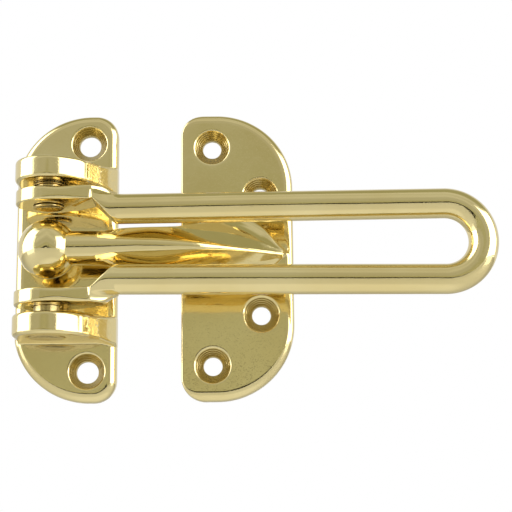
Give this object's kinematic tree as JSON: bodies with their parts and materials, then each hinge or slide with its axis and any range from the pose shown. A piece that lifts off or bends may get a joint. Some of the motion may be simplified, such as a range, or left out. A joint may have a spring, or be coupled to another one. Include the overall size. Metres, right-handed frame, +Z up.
{
  "type": "swing bar door guard",
  "caption": "Polished brass swing bar door guard: a hinged U-shaped bar on a frame plate, and a door plate with an arm that ends in a ball.",
  "frame": {"origin": "on the frame plate's back face, straight behind the hinge pins' line, at mid height", "axes": "+X along the closed bar towards its loop end, +Y into the wall, +Z up along the hinge pins"},
  "size_m": [0.1233, 0.022, 0.076],
  "materials": {
    "frame_plate_brass": "mirror-polished casting",
    "swing_bar_brass": "mirror-polished casting",
    "door_plate_brass": "mirror-polished casting",
    "hinge_pin_brass": "turned and polished",
    "washer_brass": "stamped, plain"
  },
  "bodies": {
    "frame": {"frame_plate": "frame_plate_brass", "upper_hinge_pin": "hinge_pin_brass", "lower_hinge_pin": "hinge_pin_brass", "upper_friction_washer": "washer_brass", "lower_friction_washer": "washer_brass"},
    "bar": {"swing_bar": "swing_bar_brass"},
    "door": {"door_plate": "door_plate_brass"}
  },
  "joints": [
    {"name": "bar_swing", "type": "hinge", "parent": "frame", "child": "bar", "pos_m": [0, -0.0127, 0], "axis": [0, 0, -1], "range_deg": [0, 180]},
    {"name": "door_play", "type": "slide", "parent": "frame", "child": "door", "axis": [0, -1, 0], "range_m": [0, 0.002]}
  ]
}
